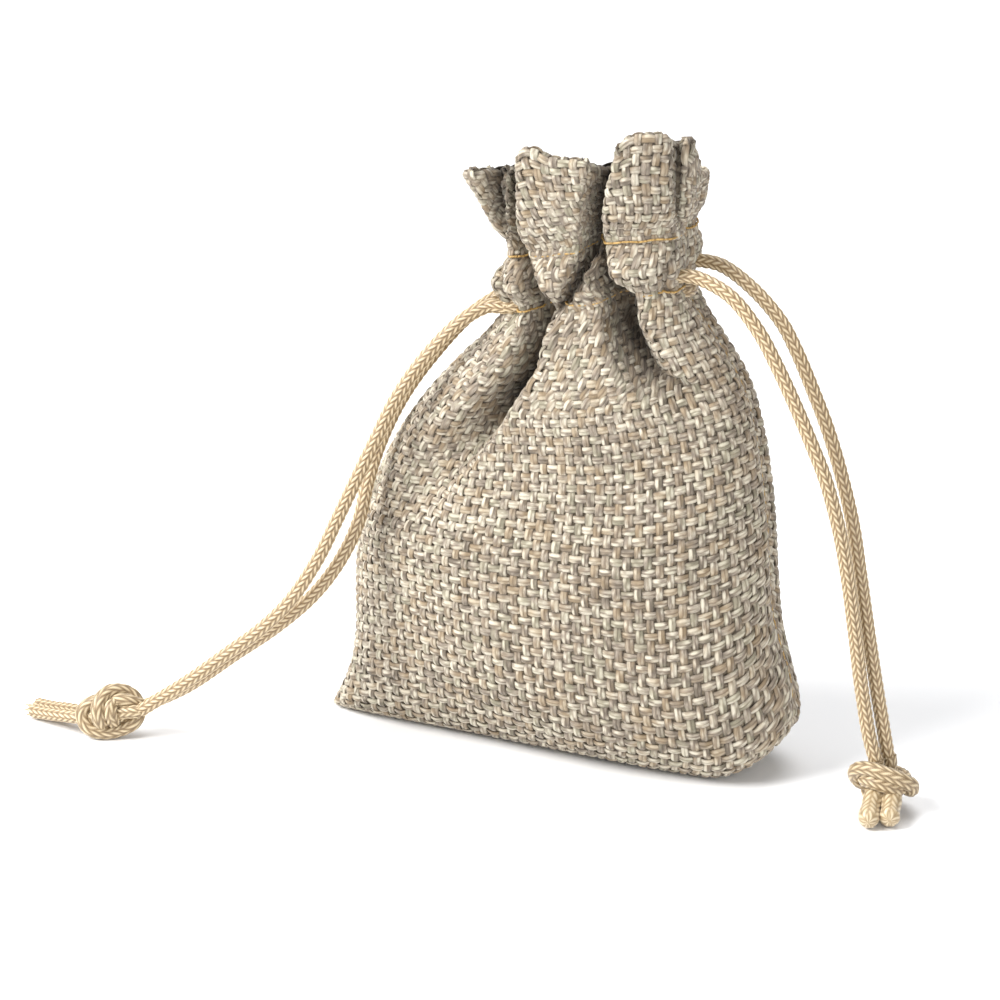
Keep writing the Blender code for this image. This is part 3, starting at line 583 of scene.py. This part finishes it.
def foldedRim(grid, front):
    # turns the header's edge over and down inside
    normal = gridNormals(grid, front)
    top = grid[-1]
    radius = cloth["rimRadius"] * np.clip(np.abs(top[:, 1:2]) / 3.0, 0.3, 1.0)
    up = unit(grid[-1] - grid[-5])
    rows = [grid]
    for turn in np.linspace(0.0, np.pi, cloth["rimTurns"])[1:]:
        rows.append((top + up * radius * np.sin(turn) - normal[-1] * radius * (1 - np.cos(turn)))[None])
    inside = slice(-2, -int(cloth["turnIn"] * 2) - 1, -1)
    rows.append(grid[inside] - normal[inside] * 2 * radius)
    return np.concatenate(rows)


def sample(grid, u, v):
    # bilinear lookup in half-millimetre steps
    row = np.clip(v * 2, 0, grid.shape[0] - 1.001)
    column = np.clip(u * 2, 0, grid.shape[1] - 1.001)
    i, j = row.astype(int), column.astype(int)
    a, b = (row - i)[..., None], (column - j)[..., None]
    return ((grid[i, j] * (1 - b) + grid[i, j + 1] * b) * (1 - a)
            + (grid[i + 1, j] * (1 - b) + grid[i + 1, j + 1] * b) * a)


weave = {"pitch": 2.0, "rise": 0.24, "halfWidth": 0.75, "halfDepth": 0.28, "sides": 8}


def smoothNoise(count, length, grain):
    # per-yarn wandering values around 0, one row for each yarn
    knots = rng.normal(size=(count, int(length / grain) + 3))
    place = np.arange(length) / grain
    base = place.astype(int)
    share = place - base
    share = share * share * (3 - 2 * share)
    return knots[:, base] * (1 - share) + knots[:, base + 1] * share


def weaveYarns(name, surface, normal, fold, upright, material):
    # upright yarns run up the cloth, the others across it
    w = weave
    tall = (surface.shape[0] - 1) / 2.0
    wide = (surface.shape[1] - 1) / 2.0
    length = tall if upright else wide
    breadth = wide if upright else tall
    count = int(breadth / w["pitch"])
    crossings = int(length / w["pitch"])
    centre = (np.arange(crossings) + 0.5) * w["pitch"]
    along = (centre[:, None] + np.array([-0.30, 0.0, 0.30])[None, :] * w["pitch"]).ravel()
    along[0], along[-1] = 0.15, length - 0.15
    rings = len(along)
    lane = (np.arange(count) + 0.5) * w["pitch"]
    wander = 0.08 * smoothNoise(count, rings, 11.0)
    s = np.broadcast_to(along, (count, rings))
    c = lane[:, None] + wander
    u, v = (c, s) if upright else (s, c)
    place = sample(surface, u, v)
    outwards = unit(sample(normal, u, v))
    over = np.where((np.arange(count)[:, None] + np.arange(crossings)[None, :]) % 2 == 0, 1.0, -1.0)
    wave = np.repeat(over, 3, axis=1) * np.tile([0.8, 1.12, 0.8], crossings) * (1.0 if upright else -1.0)
    centres = place + outwards * (w["rise"] * wave)[..., None]
    tangent = unit(np.gradient(centres, axis=1))
    across = unit(np.cross(tangent, outwards))
    lift = np.cross(across, tangent)
    slub = 1.0 + 0.07 * smoothNoise(count, rings, 7.0) + 0.05 * rng.normal(size=(count, 1))
    halfWidth = w["halfWidth"] * slub * (0.96 + 0.06 * wave)
    halfDepth = w["halfDepth"] * slub
    tone = (0.50 + 0.09 * rng.normal(size=(count, 1)) + 0.11 * smoothNoise(count, rings, 5.0)
            + 0.08 * smoothNoise(count, rings, 2.2))
    # painted highlight and shade: the wave term paints each yarn lighter where it rides over a crossing and
    # darker where it dips under
    tone = tone + 0.10 * wave + (0.0 if upright else 0.04)
    shade = np.repeat(tone[..., None], w["sides"], axis=2)
    phase = along[None, :] + 370.0 * rng.random((count, 1))
    # painted shade: the fold mask, so the yarns' colour darkens deep in the pleats
    paintedFoldShade = np.repeat(sample(fold, u, v), w["sides"], axis=2)
    return tubeFamily(name, centres, across, lift, halfWidth, halfDepth, phase, w["sides"], material,
                      {"shade": shade.ravel(), "fold": paintedFoldShade.ravel()})


stitching = {"length": 2.6, "rise": 0.72, "radius": 0.19, "seamLength": 3.0, "sunk": 0.35, "seamRise": 0.28,
             "seamRadius": 0.17,
             "shown": {"frontUpperStitches": [(10.0, 22.0), (60.0, 90.0)],  # pulled into the cloth elsewhere
                       "frontLowerStitches": [(4.0, 27.0), (40.0, 45.0), (84.0, 96.0)]}}


def threadLine(name, surface, normal, height, material):
    # a row of lock stitches across the gathered cloth: on top for each stitch, then into the cloth
    s = stitching
    u = np.arange(0.8, 99.2, 0.25)
    wander = 0.12 * np.sin(u * 0.7) + 0.1 * np.sin(u * 0.23 + 1.0)
    place = sample(surface, u, np.full_like(u, height) + wander)
    outwards = unit(sample(normal, u, np.full_like(u, height)))
    step = (u % s["length"]) / s["length"]
    shown = np.full_like(u, s["sunk"])
    for start, end in s["shown"].get(name, [(0.0, 100.0)]):
        shown = np.maximum(shown, np.clip(np.minimum(u - start, end - u) / 1.5, 0.0, 1.0))
    rise = s["rise"] * shown * np.clip(3.2 * np.sin(np.pi * step), 0.0, 1.0) ** 0.5 + 0.05
    centres = place + outwards * rise[:, None]
    return stringTube(name, centres, s["radius"], 6, material, outwards)


def stringTube(name, centres, radius, sides, material, outwards=None):
    tangent = unit(np.gradient(centres, axis=0))
    if outwards is None:
        outwards = carriedFrame(centres, (0.0, 0.0, 1.0))[0]
    across = unit(np.cross(tangent, outwards))
    size = np.full(len(centres), radius)[None] if np.isscalar(radius) else np.asarray(radius)[None]
    along = np.concatenate([[0.0], np.cumsum(np.linalg.norm(np.diff(centres, axis=0), axis=1))])[None]
    return tubeFamily(name, centres[None], across[None], np.cross(across, tangent)[None], size, size, along,
                      sides, material)


def sideSeam(name, surfaces, left, material):
    # the seam's rolled edge: the two halves' edges drawn together, with the last yarns along it
    v = np.arange(0.2, cloth["rim"] - 0.3, 0.7)
    u = np.full_like(v, 0.0 if left else 99.99)
    front, back = sample(surfaces[0], u, v), sample(surfaces[1], u, v)
    middle = (front + back) / 2 + ((0.15 if left else -0.15), 0.0, 0.0)
    wobble = 0.12 * np.sin(v * 1.9) + 0.1 * np.sin(v * 0.83)
    sideWays = np.stack([np.zeros_like(v), np.ones_like(v), np.zeros_like(v)], axis=1)
    rows = np.stack([middle + sideWays * (0.55 + wobble)[:, None],
                     middle - sideWays * (0.55 - wobble)[:, None]])
    tangent = unit(np.gradient(rows, axis=1))
    outwards = np.broadcast_to(np.array([-1.0 if left else 1.0, 0.0, 0.0]), rows.shape)
    across = unit(np.cross(tangent, outwards))
    beat = 1.0 + 0.16 * np.sin(v * np.pi / 1.0)[None, :] * np.array([[1.0], [-1.0]])
    tone = 0.40 + 0.10 * smoothNoise(2, len(v), 3.0)
    shade = np.repeat(tone[..., None], weave["sides"], axis=2)
    return tubeFamily(name, rows, across, np.cross(across, tangent), 0.62 * beat, 0.55 * beat,
                      np.broadcast_to(v, (2, len(v))), weave["sides"], material, {"shade": shade.ravel()})


def seamThread(name, surfaces, left, material):
    # small stitches that show across the seam
    s = stitching
    v = np.arange(1.0, cloth["rim"] - 2.0, 0.25)
    u = np.full_like(v, 0.0 if left else 99.99)
    middle = (sample(surfaces[0], u, v) + sample(surfaces[1], u, v)) / 2
    step = (v % s["seamLength"]) / s["seamLength"]
    out = s["seamRise"] * np.clip(2.4 * np.sin(np.pi * step), 0.0, 1.0) ** 0.5
    middle = middle + np.array([-1.0 if left else 1.0, 0.0, 0.0]) * out[:, None]
    middle[:, 1] += 0.5 * (step - 0.5)
    return stringTube(name, middle, s["seamRadius"], 6, material)


def backingSheet(halves, normals, folds, material):
    # one closed thin sheet under the yarns, front and back joined at the seams and the fold
    step = 4
    front, back = [h[::step, ::step] for h in halves]
    frontNormal, backNormal = [n[::step, ::step] for n in normals]
    ring = np.concatenate([front, back[:, -2:0:-1]], axis=1)
    ringNormal = np.concatenate([frontNormal, backNormal[:, -2:0:-1]], axis=1)
    layers = [ring - ringNormal * depth for depth in (0.12, 0.50)]
    rows, columns = ring.shape[:2]
    index = np.arange(rows * columns).reshape(rows, columns)
    after = np.roll(index, -1, axis=1)
    outer = np.stack([index[:-1], after[:-1], after[1:], index[1:]], axis=-1).reshape(-1, 4)
    rim = np.stack([index[-1], after[-1], after[-1] + rows * columns, index[-1] + rows * columns], axis=-1)
    half = front.shape[1] - 1
    low = index[0]
    bottom = np.array([[low[j], low[(columns - j) % columns], low[columns - j - 1], low[j + 1]]
                       for j in range(1, half - 1)])
    corners = np.array([[low[0], low[columns - 1], low[1]], [low[half], low[half - 1], low[half + 1]]])
    under = rows * columns
    faces = [outer, outer[:, ::-1] + under, rim, bottom, bottom[:, ::-1] + under, corners,
             corners[:, ::-1] + under]
    points = np.concatenate([layer.reshape(-1, 3) for layer in layers])
    # painted shade: the fold mask, so the backing's colour darkens deep in the pleats
    paintedFoldShade = np.concatenate([folds[0][::step, ::step], folds[1][::step, -1 - step:0:-step]], axis=1)
    return makeMesh("clothBacking", metres(points), faces, material,
                    values={"fold": np.tile(paintedFoldShade.ravel(), 2)})


knots = {"bandOffset": 1.15, "relief": 0.08, "step": 0.26, "sides": 40, "swell": 0.10}
leftKnotTurns = {  # across to the tails, up and towards the front, in mm from the knot's middle
    "middle": (-82.15, -29.8, 4.9), "squeeze": (1.0, 0.84, 1.0),
    "axes": ((-0.94, -0.342, 0.0), (-0.114, 0.314, 0.943), (0.322, -0.886, 0.334)),
    "path": [(-6.54, 0.6, 1.2), (-4.6, 1.0, 1.7), (-2.4, 1.3, 1.9), (0.0, 0.8, 0.9), (2.6, 0.9, 0.9),
             (4.2, -0.6, 0.7), (3.3, -2.8, 0.9), (1.0, -3.4, 0.7), (-1.6, -2.8, 0.3), (-3.8, -1.4, 0.4),
             (-4.2, 0.8, -0.7),
             (-2.8, 2.9, -0.6), (-0.6, 3.4, 0.9), (0.7, 1.9, 2.5), (0.9, -0.4, 2.9), (0.5, -2.4, 1.3),
             (0.6, -2.6, -0.8), (2.4, -1.4, -1.8), (4.2, -0.8, -1.5), (5.92, -0.7, -1.3)],
    "spread": ((0.0, -1.45, 0.0), (0.15, -1.4, 0.0))}
rightKnotTurns = {
    "middle": (64.5, -9.0, 5.5), "squeeze": (0.82, 1.0, 0.95),
    "axes": ((1.0, 0.0, 0.0), (0.0, 0.0, 1.0), (0.0, -1.0, 0.0)),
    "path": [(-0.4, 4.7, -0.1), (-0.3, 3.2, -0.4), (-1.0, 1.2, -1.2), (-3.2, -0.6, -1.6),
             (-5.0, 0.2, -0.2), (-4.6, 1.6, 2.0),
             (-2.2, 2.3, 3.3), (0.6, 2.1, 3.7), (3.4, 1.3, 3.0), (5.0, 0.2, 1.2), (4.7, -0.3, -1.4),
             (2.4, -0.8, -3.6), (-0.8, -0.9, -3.9), (-2.6, -2.3, -1.6), (-1.4, -2.8, 1.4), (-0.2, -3.0, 3.6),
             (0.7, -3.1, 5.8)],
    "spread": ((-0.8, -1.3, 0.0), (-1.4, -0.1, 0.0))}


def knotMesh(name, turns, material):
    # the doubled cord's path through its overhand knot
    axes = np.array(turns["axes"])
    route = np.array(turns["middle"]) + (np.array(turns["path"]) * turns["squeeze"]) @ axes
    path, distance = smoothRoute(route, knots["step"])
    tangent = unit(np.gradient(path, axis=0))
    flat = unit(np.cross(tangent, axes[2])) * knots["bandOffset"]
    first, last = [np.array(s) for s in turns["spread"]]
    if first @ flat[6] < 0:
        flat = -flat
    if last @ flat[-6] < 0:
        last = -last
    share = distance / distance[-1]
    toFirst = np.clip(1.0 - share / 0.10, 0.0, 1.0)[:, None]
    toLast = np.clip(1.0 - (1.0 - share) / 0.10, 0.0, 1.0)[:, None]
    toFirst, toLast = toFirst ** 2 * (3 - 2 * toFirst), toLast ** 2 * (3 - 2 * toLast)
    offset = flat * (1 - toFirst - toLast) + first * toFirst + last * toLast
    parts = []
    swell = 1.0 + knots["swell"] * np.clip(np.sin(np.pi * share) * 2.0, 0.0, 1.0)
    radius = np.full(len(path), cordSizes["diameter"] / 2) * swell
    tighter = {**cordSizes, "relief": knots["relief"], "sides": knots["sides"]}
    for sign in (1.0, -1.0):
        parts.append(braid(name + ("A" if sign > 0 else "B"), path + offset * sign, distance, material,
                           first=axes[2], radius=radius, sizes=tighter))
    bpy.ops.object.select_all(action="DESELECT")
    for part in parts:
        part.select_set(True)
    bpy.context.view_layer.objects.active = parts[0]
    bpy.ops.object.join()
    parts[0].name = name
    parts[0].data.name = name
    return parts[0]


fray = {"hairs": 14, "rings": 7, "sides": 8, "radius": 0.30}
meltedTail = {"radius": 1.85, "step": 0.2, "relief": 0.03}


def frayedEnd(name, route, material, direction):
    # a cut tail whose strands splay a little at the tip
    path, distance = smoothRoute(route, cordSizes["step"])
    swell = 1.0 + 0.10 * np.clip((distance - distance[-1] + 3.0) / 3.0, 0.0, 1.0)
    tail = braid(name, path, distance, material, radius=swell * cordSizes["diameter"] / 2)
    side, other = carriedFrame(path, (0.0, 0.0, 1.0))
    ahead = unit(path[-1] - path[-4])
    centres, radii = [], []
    rings = fray["rings"]
    for i in range(fray["hairs"]):
        turn = 2 * np.pi * i / fray["hairs"] + 0.3
        ring = 0.95 if i % 2 else 0.5
        base = path[-3] + (side[-1] * np.cos(turn) + other[-1] * np.sin(turn)) * ring
        reach = rng.uniform(0.9, 2.2) + direction * 0.8 * np.cos(turn)
        fan = (side[-1] * np.cos(turn) + other[-1] * np.sin(turn)) * rng.uniform(0.1, 0.45)
        t = np.linspace(0.0, 1.0, rings)[:, None]
        centres.append(base + (ahead * reach) * t + fan * t ** 2)
        radii.append(fray["radius"] * (1.0 - 0.75 * t[:, 0] ** 1.5))
    centres, radii = np.array(centres), np.array(radii)
    tangent = unit(np.gradient(centres, axis=1))
    across = unit(np.cross(tangent, np.broadcast_to(side[-1] + 0.01, tangent.shape)))
    along = np.broadcast_to(np.linspace(0, 2.0, rings), radii.shape)
    relief = np.full(centres.shape[:2] + (fray["sides"],), 0.55)
    tips = tubeFamily(name + "Tips", centres, across, np.cross(across, tangent), radii, radii, along,
                      fray["sides"], material, {"relief": relief.ravel()})
    return tail, tips


def meltedEnd(name, route, material):
    # a short tail sealed by heat: smoother, swollen and rounded
    radius = meltedTail["radius"]
    path, distance = smoothRoute(route, meltedTail["step"])
    toTip = np.clip((distance[-1] - distance) / (radius * 0.9), 0.0, 1.0)
    size = radius * np.sqrt(np.clip(1.0 - (1.0 - toTip) ** 2, 0.02, 1.0))
    size *= 1.0 + 0.06 * np.sin(distance * 1.3)
    return braid(name, path, distance, material, radius=size,
                 sizes={**cordSizes, "relief": meltedTail["relief"]})


print("camera and lights")
addCamera()
addLights()

print("drawstrings")
satin = cordMaterial("braidedSatinCord", "#6d5536", "#a18864", "#d7c4a1", 0.42)
knotted = cordMaterial("knottedSatinCord", "#6a5538", "#9c8563", "#d0be9b", 0.48)
melted = cordMaterial("heatSealedCordEnd", "#8f7957", "#b39d7a", "#d3c3a3", 0.36)
pieces = {}
paths = {}
strandRoutes = {"leftFront": leftFrontRoute, "leftBack": leftBackRoute, "rightFront": rightFrontRoute,
                "rightBack": rightBackRoute}
for label, route in strandRoutes.items():
    side = "left" if label.startswith("left") else "right"
    inward = cordSizes["inward"] if side == "left" else -cordSizes["inward"]
    start = (route[0][0] + inward, route[0][1] * 0.8, route[0][2])
    path, distance = smoothRoute([start] + route, cordSizes["step"])
    name = label + "Strand"
    pieces[name] = braid(name, path, distance, satin)
    paths[name] = np.vstack([path[:-1:cordSizes["pathSkip"]], path[-1:]])
    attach(pieces[name], side + "_pull")
    print(name, round(distance[-1], 1))

channelRoutes = {
    "leftChannelCord": [(-11.0, -5.35, 86.3), (-8.0, -4.6, 86.8), (-4.0, -2.0, 87.4), (4.0, -1.35, 88.9),
                        (14.0, -1.5, 90.6), (19.0, -3.0, 91.3), (21.7, -3.0, 91.6), (22.9, 0.0, 91.8),
                        (21.7, 3.0, 91.6), (19.0, 3.0, 91.3), (14.0, 1.5, 90.6), (4.0, 1.35, 88.9),
                        (-4.0, 2.0, 87.4), (-8.0, 4.6, 86.8), (-11.0, 5.35, 86.3)],
    "rightChannelCord": [(22.0, -5.35, 95.7), (19.0, -4.8, 95.3), (15.0, -2.0, 94.8), (7.0, -1.35, 93.6),
                         (-3.0, -1.5, 92.2), (-8.0, -3.0, 91.4), (-10.7, -3.0, 91.0), (-11.8, 0.0, 90.8),
                         (-10.7, 3.0, 91.0), (-8.0, 3.0, 91.4), (-3.0, 1.5, 92.2), (7.0, 1.35, 93.6),
                         (15.0, 2.0, 94.8), (19.0, 4.8, 95.3), (22.0, 5.35, 95.7)]}
for name, route in channelRoutes.items():
    path, distance = smoothRoute(route, cordSizes["channelStep"])
    pieces[name] = braid(name, path, distance, satin)
    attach(pieces[name], "left_drawstring" if name.startswith("left") else "right_drawstring")

print("knots and tails")
pieces["leftKnot"] = knotMesh("leftKnot", leftKnotTurns, knotted)
pieces["rightKnot"] = knotMesh("rightKnot", rightKnotTurns, knotted)
tailRoutes = {"leftFrontTail": [(-86.0, -32.2, 4.2), (-87.9, -32.3, 3.8), (-92.0, -31.2, 3.1),
                                (-96.0, -29.8, 2.3), (-99.8, -28.3, 1.6)],
              "leftBackTail": [(-86.2, -29.6, 4.2), (-88.2, -29.5, 3.8), (-92.2, -28.2, 3.1),
                               (-96.2, -26.8, 2.3), (-100.4, -25.2, 1.6)]}
for name, route in tailRoutes.items():
    fan = 1.0 if "Front" in name else -1.0
    pieces[name], pieces[name + "Tips"] = frayedEnd(name, route, satin, fan)
    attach(pieces[name], "left_pull")
    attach(pieces[name + "Tips"], "left_pull")
stubRoutes = {"rightFrontTail": [(63.6, -11.4, 3.9), (63.6, -14.0, 3.0), (64.0, -17.0, 2.2),
                                 (64.6, -19.8, 2.0)],
              "rightBackTail": [(66.6, -11.2, 3.8), (67.1, -13.4, 3.0), (67.5, -15.8, 2.3),
                                (68.0, -17.8, 2.05)]}
for name, route in stubRoutes.items():
    pieces[name] = meltedEnd(name, route, melted)
    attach(pieces[name], "right_pull")
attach(pieces["leftKnot"], "left_pull")
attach(pieces["rightKnot"], "right_pull")

print("cloth")
halves, folds = buildSurface()
surfaces = [foldedRim(half, front) for half, front in zip(halves, (True, False))]
folds = [np.pad(f, ((0, surfaces[0].shape[0] - f.shape[0]), (0, 0), (0, 0)), mode="edge") for f in folds]
normals = [gridNormals(s, front) for s, front in zip(surfaces, (True, False))]
yarn = yarnMaterial()
backing = backingMaterial()
golden = threadMaterial()
clothPieces = []
for label, surface, normal, fold in zip(("front", "back"), surfaces, normals, folds):
    for upright in (True, False):
        name = label + ("Warp" if upright else "Weft")
        pieces[name] = weaveYarns(name, surface, normal, fold, upright, yarn)
        clothPieces.append(name)
    for line, height in (("Lower", cloth["lowerStitch"]), ("Upper", cloth["upperStitch"])):
        name = label + line + "Stitches"
        pieces[name] = threadLine(name, surface, normal, height, golden)
        clothPieces.append(name)
for left in (True, False):
    side = "left" if left else "right"
    pieces[side + "SideSeam"] = sideSeam(side + "SideSeam", halves, left, yarn)
    pieces[side + "SeamStitches"] = seamThread(side + "SeamStitches", halves, left, golden)
    clothPieces += [side + "SideSeam", side + "SeamStitches"]
pieces["clothBacking"] = backingSheet(surfaces, normals, folds, backing)
for name in clothPieces + ["clothBacking"]:
    if "Lower" in name:
        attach(pieces[name], "root")
    else:
        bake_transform(pieces[name])

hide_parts("front_panel", "front_channel", "front_facing")
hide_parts("back_panel", "back_channel", "back_facing")
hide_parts("front_header", "back_header")
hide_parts("front_upper_stitching")
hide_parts("front_lower_stitching")
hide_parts("back_upper_stitching")
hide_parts("back_lower_stitching")
for side in ("left", "right"):
    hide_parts(side + "_side_seam")
    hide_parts(side + "_seam_thread")
    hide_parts(side + "_channel_cord")
    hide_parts(side + "_knot")
    for part in ("Front", "Back"):
        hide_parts(side + "_" + part.lower() + "_strand")
        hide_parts(side + "_" + part.lower() + "_tail")

for name, path in paths.items():
    side = "left" if name.startswith("left") else "right"
    part = "Front" if "Front" in name else "Back"
    others = [pieces[n] for n in pieces if n.startswith(side + part + "Tail")]
    if part == "Front":
        others.append(pieces[side + "Knot"])

bpy.ops.mesh.primitive_plane_add(size=8.0, location=(0.0, 0.0, 0.0))
floor = bpy.context.object
floor.name = "studioFloor"
floor.data.materials.append(floorMaterial())
